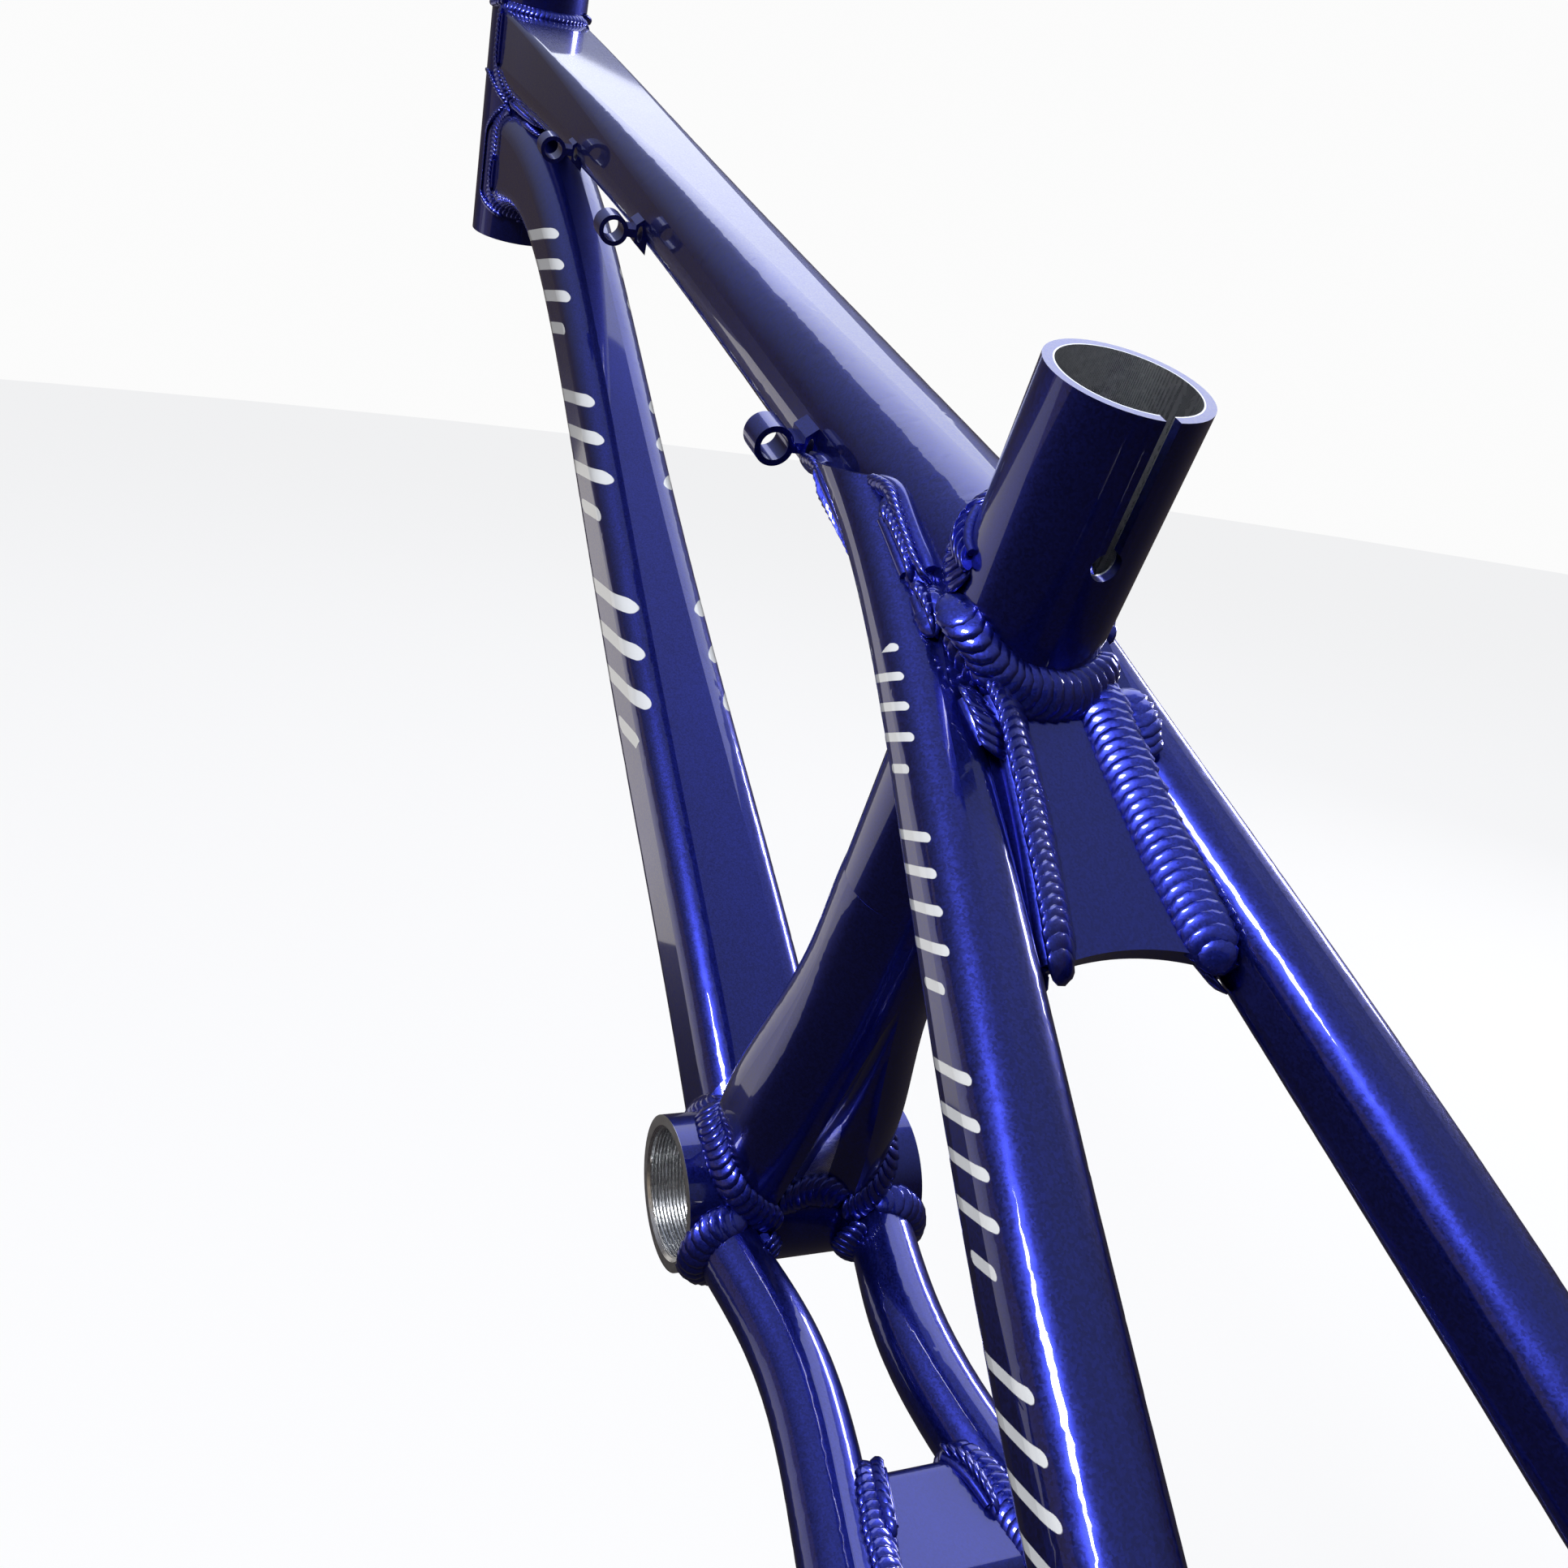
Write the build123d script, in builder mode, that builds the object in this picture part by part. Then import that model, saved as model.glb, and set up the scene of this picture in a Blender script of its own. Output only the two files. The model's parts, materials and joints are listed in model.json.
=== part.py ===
# Aluminium race bicycle frame for 20-inch wheels, millimetres.
# The origin is the centre of the bottom bracket shell: +X forward, +Y to the rider's left, +Z up.
from build123d import *
from math import cos, radians, sin
import os

os.makedirs("parts", exist_ok=True)

# ---- driving dimensions ----
shell_width = 68.0
shell_diameter = 42.0
shell_bore = 34.8

head_angle = 74.0
head_length = 120.0
head_diameter = 46.0
head_reach = 487.5  # shell centre to the head tube's lower end, forward
head_rise = 261.6  # the same, upward
cup_bore = 41.1  # seat of an integrated headset bearing
cup_depth = 9.0
head_bore = 38.0

seat_angle = 68.2
seat_length = 242.0
seat_diameter = 31.8
seat_bore = 27.2
seat_slot_width = 3.0
seat_slot_length = 28.0

top_seat_height = 193.0  # along the seat tube, shell centre to the top tube's axis
top_head_height = 85.0  # along the head tube, from its lower end
top_width_head = 41.0
top_height_head = 43.0
top_diameter = 33.0
top_middle_height = 29.5
tube_wall = 2.2

down_drop = 7.0  # the down tube's axis passes this far under the shell's centre
down_angle = 37.1
down_width = 31.5
down_height = 34.0
down_width_shell = 39.0
down_head_height = 34.0  # along the head tube, to the middle of the flared end
down_head_size = 58.0
down_head_width = 37.0

stay_length = 378.0  # shell centre to the rear axle, level
axle_drop = 43.0
axle_spacing = 110.0
axle_slot = 10.0
chainstay_diameter = 19.0
stay_wall = 1.8
seatstay_width = 16.0
seatstay_height = 16.5
seatstay_swell = 2.0  # extra width and height midway down
seatstay_spread = 18.3  # centre line to each seatstay where it passes the seat tube
seatstay_above = 20.0  # from the top tube's axis at the seat tube up to the stays' cut ends
plate_thickness = 4.0
plate_angle = 40.5
plate_run = 65.0
plate_arc = 8.0  # depth of the arc in its lower edge
bridge_length = 30.0
bridge_height = 14.0
bridge_angle = 9.0
bridge_wall = 2.5
dropout_thickness = 6.0
dropout_tab = 14.0  # how far each dropout's tab enters its stay
dropout_tab_half = 5.0
dropout_slot_depth = 30.0
stay_end = 32.0  # how far ahead of the axle the stays end

weld_leg = 4.2
guide_bore = 6.8
guide_wall = 1.5
guide_length = 9.0
guide_shares = {"rear": 0.15, "middle": 0.4605, "front": 0.655}  # of the top tube, from the seat tube
boss_diameter = 8.0
boss_length = 16.0
boss_base_diameter = 16.0
boss_place = 178.0  # rear axle to the boss
boss_seat = 5.0  # height of the boss's base above the stay
boss_bolt = 5.0
boss_bolt_depth = 14.0

# ---- frame lines ----
along_head = Vector(-cos(radians(head_angle)), 0, sin(radians(head_angle)))
behind_head = Vector(-sin(radians(head_angle)), 0, -cos(radians(head_angle)))
head_base = Vector(head_reach, 0, head_rise)
along_seat = Vector(-cos(radians(seat_angle)), 0, sin(radians(seat_angle)))
behind_seat = Vector(-sin(radians(seat_angle)), 0, -cos(radians(seat_angle)))
axle = Vector(-stay_length, 0, -axle_drop)
dropout_middle = axle_spacing / 2 + dropout_thickness / 2

top_at_seat = along_seat * top_seat_height
top_at_head = head_base + along_head * top_head_height
along_top = (top_at_head - top_at_seat).normalized()
top_length = (top_at_head - top_at_seat).length

along_down = Vector(cos(radians(down_angle)), 0, sin(radians(down_angle)))
down_start = Vector(sin(radians(down_angle)), 0, -cos(radians(down_angle))) * down_drop
down_at_head = head_base + along_head * down_head_height


def across(place, direction):
    """Plane square to a tube: its x is the frame's +Y and its y points up the section."""
    return Plane(origin=place, x_dir=(0, 1, 0), z_dir=direction)


def tube(stations, grow=0.0):
    """Solid through rounded sections: plane, width, height, top and bottom corner radius."""
    with BuildPart() as body:
        for plane, width, height, top_radius, bottom_radius in stations:
            with BuildSketch(plane) as section:
                Rectangle(width + 2 * grow, height + 2 * grow)
                corners = section.vertices().group_by(Axis.Y)
                fillet(corners[-1], max(top_radius + grow, 0.6))
                fillet(section.vertices().group_by(Axis.Y)[0], max(bottom_radius + grow, 0.6))
        loft()
    return body.part


def rod(start, direction, radius, length):
    """Plain cylinder from start along direction."""
    with BuildPart() as body:
        with BuildSketch(Plane(origin=start, z_dir=direction)):
            Circle(radius)
        extrude(amount=length)
    return body.part


def round_station(plane, diameter):
    return (plane, diameter, diameter, diameter * 0.497, diameter * 0.497)


# ---- tube centre lines and sections ----
def top_station(share, width, height, top_radius, bottom_radius):
    """Section whose upper edge keeps to the straight line along the top of the tube."""
    upper_edge = (top_diameter * (1 - share) + top_height_head * share) / 2
    plane = across(top_at_seat + along_top * (top_length * share), along_top)
    place = plane.from_local_coords((0, upper_edge - height / 2, 0))
    return (across(place, along_top), width, height, top_radius, bottom_radius)


def top_width_at(share):
    return top_diameter + (top_width_head - top_diameter) * share


middle = top_middle_height
top_stations = [
    top_station(0.0, top_diameter, top_diameter, top_diameter * 0.49, top_diameter * 0.49),
    top_station(0.25, top_diameter, (top_diameter + middle) / 2, 12.0, 14.5),
    top_station(0.5, top_width_at(0.15), middle, 8.0, 14.0),
    top_station(0.75, top_width_at(0.5), (top_height_head + 2 * middle) / 3, 3.5, 15.0),
    top_station(1.0, top_width_head, top_height_head, 2.5, 19.0),
]

down_run = (head_reach - down_start.X) / cos(radians(down_angle))


def down_station(share, width, height, radius):
    return (across(down_start + along_down * (down_run * share), along_down), width, height, radius, radius)


down_stations = [
    down_station(0.0, down_width_shell, down_height, 9.0),
    down_station(0.25, (down_width_shell + down_width) / 2, down_height, 9.0),
    down_station(0.5, down_width, down_height, 10.0),
    down_station(0.7, down_width, down_height + 1.0, 11.0),
    (across(down_at_head, -behind_head), down_head_width, down_head_size, 14.0, 12.0),
]


def seat_station(height, width, depth, radius):
    return (across(along_seat * height, along_seat), width, depth, radius, radius)


foot_width = shell_width - 22.0
round_from = 120.0  # above this height the seat tube is a plain cylinder
seat_lap = 0.1
seat_stations = [
    seat_station(0.0, foot_width, seat_diameter + 5.0, 14.0),
    seat_station(25.0, foot_width, seat_diameter + 4.0, 14.0),
    seat_station(47.0, foot_width - 3.0, seat_diameter + 3.0, 14.5),
    seat_station(68.0, foot_width - 9.0, seat_diameter + 1.0, 15.0),
    seat_station(95.0, seat_diameter + 0.5, seat_diameter, seat_diameter * 0.49),
    round_station(across(along_seat * round_from, along_seat), seat_diameter),
]


def seat_cylinder(radius, top):
    return rod(along_seat * (round_from - seat_lap), along_seat, radius, top - round_from + seat_lap)


# Each chainstay leaves the shell level with its fellow, drops, then bows out round the tyre.
chainstay_line = [
    Vector(0.0, 18.5, -1.0),
    Vector(-stay_length * 0.12, 18.0, -10.0),
    Vector(-stay_length * 0.24, 21.0, -19.5),
    Vector(-stay_length * 0.33, 27.5, -25.0),
    Vector(-stay_length * 0.45, 35.0, -30.0),
    Vector(-stay_length * 0.57, 44.0, -34.0),
    Vector(-stay_length * 0.69, 51.0, -37.5),
    Vector(-stay_length * 0.81, dropout_middle - 2.5, -40.5),
    Vector(-stay_length + stay_end, dropout_middle, -axle_drop),
]
seatstay_foot = axle + Vector(24.0, dropout_middle, 22.0)
seatstay_at_seat = top_at_seat + Vector(11.7, seatstay_spread, -7.7)
seatstay_slope = (seatstay_at_seat.Z - seatstay_foot.Z) / (seatstay_at_seat.X - seatstay_foot.X)


def seatstay_point(x, y):
    return Vector(x, y, seatstay_foot.Z + (x - seatstay_foot.X) * seatstay_slope)


def seatstay_station(share, bow):
    """Point a share of the way from the seat tube to the foot; bow is the same share of the way outward."""
    run = seatstay_foot.X - seatstay_at_seat.X
    return seatstay_point(seatstay_at_seat.X + run * share, seatstay_spread + (dropout_middle - seatstay_spread) * bow)


seatstay_line = [seatstay_station(share, bow) for share, bow in (
    (-0.204, -0.06), (0.0, 0.0), (0.22, 0.3), (0.476, 0.63), (0.748, 0.87), (1.0, 1.0))]


def stay(line, sizes, side=1, grow=0.0):
    """Bent stay through the points of a line, a section square to it at each point."""
    points = [Vector(p.X, p.Y * side, p.Z) for p in line]
    stations = []
    for i, place in enumerate(points):
        ahead = points[min(i + 1, len(points) - 1)] - points[max(i - 1, 0)]
        direction = (ahead * -1).normalized()
        sideways = Vector(0, 1, 0) - direction * direction.Y
        width, height, radius = sizes[i]
        stations.append((Plane(place, sideways, direction), width, height, radius, radius))
    return tube(stations, grow)


chainstay_sizes = [(chainstay_diameter, chainstay_diameter, chainstay_diameter * 0.49)] * 5
chainstay_sizes += [(size, size, size * 0.49) for size in (18.0, 17.0, 16.0, 15.5)]
seatstay_sizes = [(seatstay_width, seatstay_height, 7.0)] * 2
seatstay_sizes += [(seatstay_width + seatstay_swell, seatstay_height + seatstay_swell, 7.2)] * 2
seatstay_sizes += [(seatstay_width, seatstay_height, 7.2), (15.0, 16.0, 7.2)]

# ---- filled outer shapes, from which the tubes and welds are cut ----
head_solid = rod(head_base, along_head, head_diameter / 2, head_length)
shell_solid = rod(Vector(0, -shell_width / 2, 0), Vector(0, 1, 0), shell_diameter / 2, shell_width)
seat_solid = tube(seat_stations) + seat_cylinder(seat_diameter / 2, seat_length)
top_solid = tube(top_stations)
down_solid = tube(down_stations)
chainstay_solid = stay(chainstay_line, chainstay_sizes)
seatstay_solid = stay(seatstay_line, seatstay_sizes)


# ---- the pieces ----
pieces = {}


def keep(name, part):
    part.label = name
    pieces[name] = part


def hollow(outer, inner, *mates):
    """Tube wall: the outer solid less its inside and less each piece it is mitred to."""
    with BuildPart() as wall:
        add(outer)
        add(inner, mode=Mode.SUBTRACT)
        for mate in mates:
            add(mate, mode=Mode.SUBTRACT)
    return wall.part


def mirrored(part):
    with BuildPart() as other:
        mirror(part, about=Plane.XZ)
    return other.part


# Head tube: a plain cylinder with a bearing seat at each end.
with BuildPart() as head_tube:
    add(head_solid)
    add(rod(head_base, along_head, head_bore / 2, head_length), mode=Mode.SUBTRACT)
    for end, inward in ((head_base, along_head), (head_base + along_head * head_length, -along_head)):
        add(rod(end, inward, cup_bore / 2, cup_depth), mode=Mode.SUBTRACT)
keep("head_tube", head_tube.part)

# Bottom bracket shell: bored for its thread, with a lead-in chamfer at each face.
with BuildPart() as bottom_bracket_shell:
    with BuildSketch(Plane.XZ.offset(-shell_width / 2)):
        Circle(shell_diameter / 2)
        Circle(shell_bore / 2, mode=Mode.SUBTRACT)
    extrude(amount=shell_width)
    chamfer(bottom_bracket_shell.edges().filter_by(GeomType.CIRCLE).filter_by(
        lambda edge: edge.radius < shell_diameter / 2 - 0.1), 0.8)
keep("bottom_bracket_shell", bottom_bracket_shell.part)


# Seat tube: flared foot, with a scallop down the back between two ridges.
def scallop(grow=0.0):
    low, high = 10.0, 100.0
    with BuildPart() as groove:
        with BuildSketch(across(along_seat * low + behind_seat * (seat_diameter / 2 + 12.5), along_seat)):
            Circle(16.0 + grow)
        with BuildSketch(across(along_seat * high + behind_seat * (seat_diameter / 2 + 1.8), along_seat)):
            Circle(1.5 + grow)
        loft()
    return groove.part


seat_wall = (seat_diameter - seat_bore) / 2
with BuildPart() as seat_outer:
    add(seat_solid)
    add(scallop(), mode=Mode.SUBTRACT)
seat_skin = seat_outer.part

with BuildPart() as seat_inside:
    add(tube(seat_stations, -seat_wall))
    add(scallop(seat_wall), mode=Mode.SUBTRACT)
    add(seat_cylinder(seat_bore / 2, seat_length + 1.0))

with BuildPart() as seat_tube:
    add(hollow(seat_skin, seat_inside.part, shell_solid))
    slot_top = along_seat * seat_length
    with BuildSketch(Plane(origin=slot_top, x_dir=(0, 1, 0), z_dir=-along_seat)):
        with Locations((0, -seat_diameter / 2)):
            Rectangle(seat_slot_width, seat_diameter)
    extrude(amount=seat_slot_length, mode=Mode.SUBTRACT)
    slot_end = slot_top - along_seat * seat_slot_length
    with BuildSketch(Plane(origin=slot_end, x_dir=(0, 1, 0), z_dir=behind_seat)):
        Circle(seat_slot_width)
    extrude(amount=seat_diameter, mode=Mode.SUBTRACT)
keep("seat_tube", seat_tube.part)

keep("top_tube", hollow(top_solid, tube(top_stations, -tube_wall), head_solid, seat_solid))
keep("down_tube", hollow(down_solid, tube(down_stations, -tube_wall), head_solid, top_solid, shell_solid, seat_skin))

# ---- rear triangle, left side first ----
dropout_plane = Plane(origin=axle + Vector(0, dropout_middle, 0), x_dir=(1, 0, 0), z_dir=(0, -1, 0))
stay_lift = (seatstay_line[-2] - seatstay_line[-1]).normalized()
lift_x, lift_z = stay_lift.X, stay_lift.Z
tab, tab_half, slot_depth = dropout_tab, dropout_tab_half, dropout_slot_depth
tab_x = seatstay_foot.X - axle.X + lift_x * tab
tab_z = seatstay_foot.Z - axle.Z + lift_z * tab
jaw = axle_slot / 2 + 7.5

with BuildPart() as dropout_left:
    with BuildSketch(dropout_plane) as outline:
        with BuildLine():
            Polyline(
                (stay_end + tab, -tab_half), (stay_end + tab, tab_half), (stay_end - 6, tab_half + 5),
                (tab_x + lift_z * tab_half, tab_z - lift_x * tab_half),
                (tab_x - lift_z * tab_half, tab_z + lift_x * tab_half),
                (4, jaw + 6), (-10, jaw), (-slot_depth, jaw), (-slot_depth, -jaw), (6, -jaw - 1), (stay_end - 6, -8),
                close=True)
        make_face()
        fillet(outline.vertices(), 2.0)
        with Locations((-slot_depth / 2 + 2, 0)):
            Rectangle(slot_depth + 4, axle_slot, mode=Mode.SUBTRACT)
        with Locations((4, 0)):
            Circle(axle_slot / 2, mode=Mode.SUBTRACT)
    extrude(amount=dropout_thickness / 2, both=True)

with BuildPart() as chainstay_left:
    add(hollow(chainstay_solid, stay(chainstay_line, chainstay_sizes, grow=-stay_wall),
               shell_solid, seat_skin, dropout_left.part))

# The seatstay's upper end runs past the seat tube, is cut level and lies along the top tube's side.
with BuildPart() as above_stay:
    with BuildSketch(Plane.XY.offset(top_at_seat.Z + seatstay_above)):
        Rectangle(300, 300)
    extrude(amount=100)

with BuildPart() as seatstay_left:
    add(hollow(seatstay_solid, stay(seatstay_line, seatstay_sizes, grow=-stay_wall),
               top_solid, seat_solid, above_stay.part, dropout_left.part))

# Brake boss: base, stud and threaded end, square to the seatstay.
along_boss = Vector(-lift_z, 0, lift_x).normalized()
boss_x = axle.X + boss_place * lift_x + 4.0
boss_share = (boss_x - seatstay_at_seat.X) / (seatstay_foot.X - seatstay_at_seat.X)
boss_root = seatstay_station(boss_share, boss_share * 1.25)
boss_base = seatstay_height / 2 + boss_seat
with BuildPart() as brake_boss_left:
    add(rod(boss_root, along_boss, boss_base_diameter / 2, boss_base))
    add(rod(boss_root + along_boss * boss_base, along_boss, boss_diameter / 2, boss_length))
    bolt_end = boss_root + along_boss * (boss_base + boss_length - boss_bolt_depth)
    add(rod(bolt_end, along_boss, boss_bolt / 2, boss_bolt_depth + 1.0), mode=Mode.SUBTRACT)
    add(seatstay_solid, mode=Mode.SUBTRACT)

for name, piece in (("dropout", dropout_left), ("chainstay", chainstay_left),
                    ("seatstay", seatstay_left), ("brake_boss", brake_boss_left)):
    keep(name + "_left", piece.part)
    keep(name + "_right", mirrored(piece.part))

chainstay_pair = chainstay_solid + mirrored(chainstay_solid)
seatstay_pair = seatstay_solid + mirrored(seatstay_solid)

# Plate between the seatstays behind the seat tube, its lower edge an arc that clears the tyre.
plate_top = along_seat * (top_seat_height - 6.4) + behind_seat * (seat_diameter / 2 - 4.4)
down_plate = Vector(-cos(radians(plate_angle)), 0, -sin(radians(plate_angle)))
plate_normal = Vector(-sin(radians(plate_angle)), 0, cos(radians(plate_angle)))


def plate_blank(grow=0.0):
    upper, lower = seatstay_spread, seatstay_spread + 11.0
    with BuildPart() as blank:
        with BuildSketch(Plane(plate_top + plate_normal * grow, (0, 1, 0), plate_normal)):
            with BuildLine():
                Polyline((lower, plate_run + grow), (upper, -14), (-upper, -14), (-lower, plate_run + grow))
                ThreePointArc((-lower, plate_run + grow), (0, plate_run - plate_arc + grow), (lower, plate_run + grow))
            make_face()
        extrude(amount=-(plate_thickness + 2 * grow))
    return blank.part


with BuildPart() as seatstay_plate:
    add(plate_blank())
    for mate in (seatstay_pair, seat_solid, top_solid):
        add(mate, mode=Mode.SUBTRACT)
keep("seatstay_plate", seatstay_plate.part)

# Box-section bridge between the chainstays.
bridge_middle = Vector(-stay_length * 0.273, 0, -22.5)
bridge_plane = Plane(bridge_middle, (cos(radians(bridge_angle)), 0, sin(radians(bridge_angle))), (0, 1, 0))


def bridge_blank(grow=0.0):
    with BuildPart() as blank:
        with BuildSketch(bridge_plane):
            RectangleRounded(bridge_length + 2 * grow, bridge_height + 2 * grow, 4.0 + grow)
        extrude(amount=23.0, both=True)
    return blank.part


with BuildPart() as chainstay_bridge:
    add(hollow(bridge_blank(), bridge_blank(-bridge_wall), chainstay_pair))
keep("chainstay_bridge", chainstay_bridge.part)


# ---- cable guides along the top tube's left side ----
def cable_guide(distance):
    """Ring on a short web, its hollow foot seated on the tube; distance runs from the seat tube."""
    side = top_width_at(0.15) / 2
    ring_x = side + 4.6 + guide_bore / 2 + guide_wall
    with BuildPart() as guide:
        with BuildSketch(across(top_at_seat + along_top * (distance - guide_length / 2), along_top)):
            with Locations((0, -2.0)):
                with Locations((ring_x, 0)):
                    Circle(guide_bore / 2 + guide_wall)
                with Locations((side + 4.0, 0)):
                    Rectangle(4.0, 2.6)
                with Locations((side, 0)):
                    Trapezoid(13.0, 4.4, 50, rotation=-90)
                with Locations((side + 0.6, 0)):
                    Ellipse(0.9, 2.6, mode=Mode.SUBTRACT)
                with Locations((ring_x, 0)):
                    Circle(guide_bore / 2, mode=Mode.SUBTRACT)
        extrude(amount=guide_length)
        add(top_solid, mode=Mode.SUBTRACT)
    return guide.part


for name, share in guide_shares.items():
    keep("cable_guide_" + name, cable_guide(share * top_length))


# ---- weld beads ----
def bead(first_grown, second_grown, *cut):
    """Filler metal in the corner between two pieces, within a leg's length of both."""
    with BuildPart() as ring:
        add(first_grown)
        add(second_grown, mode=Mode.INTERSECT)
        for solid in cut:
            add(solid, mode=Mode.SUBTRACT)
    return ring.part


leg = weld_leg
head_grown = rod(head_base, along_head, head_diameter / 2 + leg, head_length)
shell_grown = rod(Vector(0, -shell_width / 2, 0), Vector(0, 1, 0), shell_diameter / 2 + leg, shell_width)
seat_grown = tube(seat_stations, leg) + seat_cylinder(seat_diameter / 2 + leg, top_seat_height + 17.0)
top_grown = tube(top_stations, leg)
down_grown = tube(down_stations, leg)
chainstay_grown = stay(chainstay_line, chainstay_sizes, grow=leg)
seatstay_grown = stay(seatstay_line, seatstay_sizes, grow=leg)
plate_grown = plate_blank(leg)
bridge_grown = bridge_blank(leg)
plate_solid = seatstay_plate.part
bridge_solid = chainstay_bridge.part
main_solids = (head_solid, shell_solid, seat_skin, top_solid, down_solid)

weld_head_top = bead(head_grown, top_grown, head_solid, top_solid, down_solid)
weld_head_down = bead(head_grown, down_grown, head_solid, down_solid, top_solid, weld_head_top)
weld_down_top = bead(down_grown, top_grown, *main_solids, weld_head_top, weld_head_down)
weld_top_seat = bead(top_grown, seat_grown, *main_solids, seatstay_pair, plate_solid)
weld_down_shell = bead(down_grown, shell_grown, *main_solids, chainstay_pair)
weld_seat_shell = bead(seat_grown, shell_grown, *main_solids, chainstay_pair, weld_down_shell)
weld_down_seat = bead(down_grown, seat_grown, *main_solids, weld_down_shell, weld_seat_shell)
for name, weld in (("head_top", weld_head_top), ("head_down", weld_head_down), ("down_top", weld_down_top),
                   ("top_seat", weld_top_seat), ("down_shell", weld_down_shell),
                   ("seat_shell", weld_seat_shell), ("down_seat", weld_down_seat)):
    keep("weld_" + name, weld)

left_welds = {}
left_welds["chainstay_shell"] = bead(chainstay_grown, shell_grown, *main_solids, chainstay_pair,
                                     weld_down_shell, weld_seat_shell)
left_welds["seatstay_top"] = bead(seatstay_grown, top_grown, *main_solids, seatstay_pair, above_stay.part,
                                  weld_top_seat)
left_welds["seatstay_seat"] = bead(seatstay_grown, seat_grown, *main_solids, seatstay_pair, plate_solid,
                                   weld_top_seat, left_welds["seatstay_top"])
left_welds["plate_seatstay"] = bead(seatstay_grown, plate_grown, *main_solids, seatstay_pair, plate_solid,
                                    weld_top_seat, left_welds["seatstay_top"], left_welds["seatstay_seat"])
left_welds["bridge_chainstay"] = bead(chainstay_grown, bridge_grown, chainstay_pair, bridge_blank())
for name, weld in left_welds.items():
    keep("weld_" + name + "_left", weld)
    keep("weld_" + name + "_right", mirrored(weld))


def end_cap(line, radius, *cut):
    """Disc of weld that closes a stay's end round the dropout's tab."""
    outward = (line[-1] - line[-2]).normalized()
    with BuildPart() as cap:
        add(rod(line[-1], outward, radius, 3.0))
        for solid in cut:
            add(solid, mode=Mode.SUBTRACT)
    return cap.part


for name, line, radius, solid in (("chainstay_dropout", chainstay_line, 7.7, chainstay_solid),
                                  ("seatstay_dropout", seatstay_line, 7.4, seatstay_solid)):
    cap = end_cap(line, radius, solid, dropout_left.part)
    keep("weld_" + name + "_left", cap)
    keep("weld_" + name + "_right", mirrored(cap))

plate_seat_mates = [pieces["weld_" + name + side] for name in ("seatstay_seat", "plate_seatstay", "seatstay_top")
                    for side in ("_left", "_right")]
keep("weld_plate_seat", bead(plate_grown, seat_grown, *main_solids, seatstay_pair, plate_solid, weld_top_seat,
                             *plate_seat_mates))

for name, piece in pieces.items():
    export_step(piece, "parts/" + name + ".step")
    print(name, len(piece.solids()), round(piece.volume, 1))
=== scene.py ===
import json
import random
from itertools import combinations, groupby
from math import atan, copysign, cos, pi, radians, sin

import bmesh
import bpy
from mathutils import Matrix, Vector
from mathutils.bvhtree import BVHTree


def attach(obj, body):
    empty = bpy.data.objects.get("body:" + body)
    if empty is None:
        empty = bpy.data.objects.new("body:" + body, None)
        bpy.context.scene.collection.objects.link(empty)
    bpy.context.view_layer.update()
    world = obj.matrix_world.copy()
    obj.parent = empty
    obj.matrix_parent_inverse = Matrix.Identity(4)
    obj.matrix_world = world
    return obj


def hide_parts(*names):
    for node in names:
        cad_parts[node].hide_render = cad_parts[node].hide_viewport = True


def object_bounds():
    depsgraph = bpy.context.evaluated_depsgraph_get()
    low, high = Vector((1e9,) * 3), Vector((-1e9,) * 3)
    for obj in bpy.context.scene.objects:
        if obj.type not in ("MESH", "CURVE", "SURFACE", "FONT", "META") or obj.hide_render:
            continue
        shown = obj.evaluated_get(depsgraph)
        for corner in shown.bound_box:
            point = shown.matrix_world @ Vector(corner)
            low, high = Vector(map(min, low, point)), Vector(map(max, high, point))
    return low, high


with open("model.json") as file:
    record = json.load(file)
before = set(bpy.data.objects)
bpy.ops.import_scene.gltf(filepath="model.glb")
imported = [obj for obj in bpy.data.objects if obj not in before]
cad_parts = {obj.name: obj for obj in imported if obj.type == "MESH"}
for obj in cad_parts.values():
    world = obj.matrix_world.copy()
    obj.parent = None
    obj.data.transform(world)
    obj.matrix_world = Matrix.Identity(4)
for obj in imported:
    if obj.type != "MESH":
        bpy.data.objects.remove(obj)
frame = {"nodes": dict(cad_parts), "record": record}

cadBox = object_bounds()
nodes = frame["nodes"]
mm = 0.001

# The frame's main lines, as the solids have them.
shell = {"halfWidth": 34 * mm, "bore": 17.4 * mm, "chamfer": 0.8 * mm}
headAngle, seatAngle, downAngle, plateAngle = (radians(angle) for angle in (74, 68.2, 37.1, 40.5))
headLine = {"start": Vector((487.5, 0, 261.6)) * mm, "along": Vector((-cos(headAngle), 0, sin(headAngle))),
            "length": 120 * mm, "cup": 20.55 * mm}
seatLine = {"start": Vector((0, 0, 0)), "along": Vector((-cos(seatAngle), 0, sin(seatAngle))), "bore": 13.6 * mm}
print("frame loaded:", len(nodes), "solids")


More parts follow.
